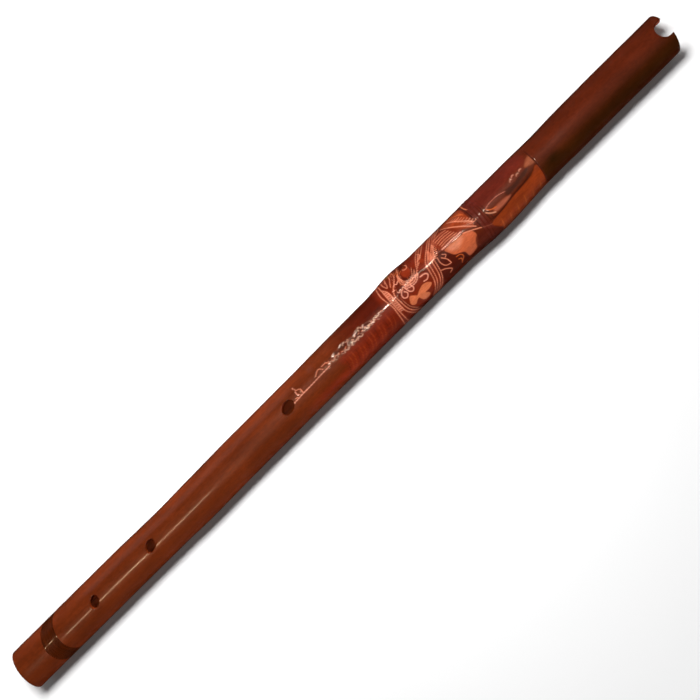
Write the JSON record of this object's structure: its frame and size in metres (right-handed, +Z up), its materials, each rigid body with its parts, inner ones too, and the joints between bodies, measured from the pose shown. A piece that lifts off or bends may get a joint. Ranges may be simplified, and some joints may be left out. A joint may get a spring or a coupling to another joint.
{
  "type": "bamboo flute",
  "caption": "End-blown bamboo notch flute: a stained culm bored through, with a U notch, oval finger holes, carved relief and a binding near the foot.",
  "frame": {"origin": "bottom centre of the bounding box, on the surface that the flute lies on", "axes": "+X runs along the bore from the foot to the mouth, +Z is up with the finger holes on top, +Y is across the flute"},
  "size_m": [0.5423, 0.0306, 0.0276],
  "materials": {
    "bamboo": "stained and lacquered bamboo",
    "binding": "thread soaked in dark lacquer"
  },
  "bodies": {
    "root": {"culm": "bamboo", "foot_binding": "binding"}
  },
  "joints": []
}
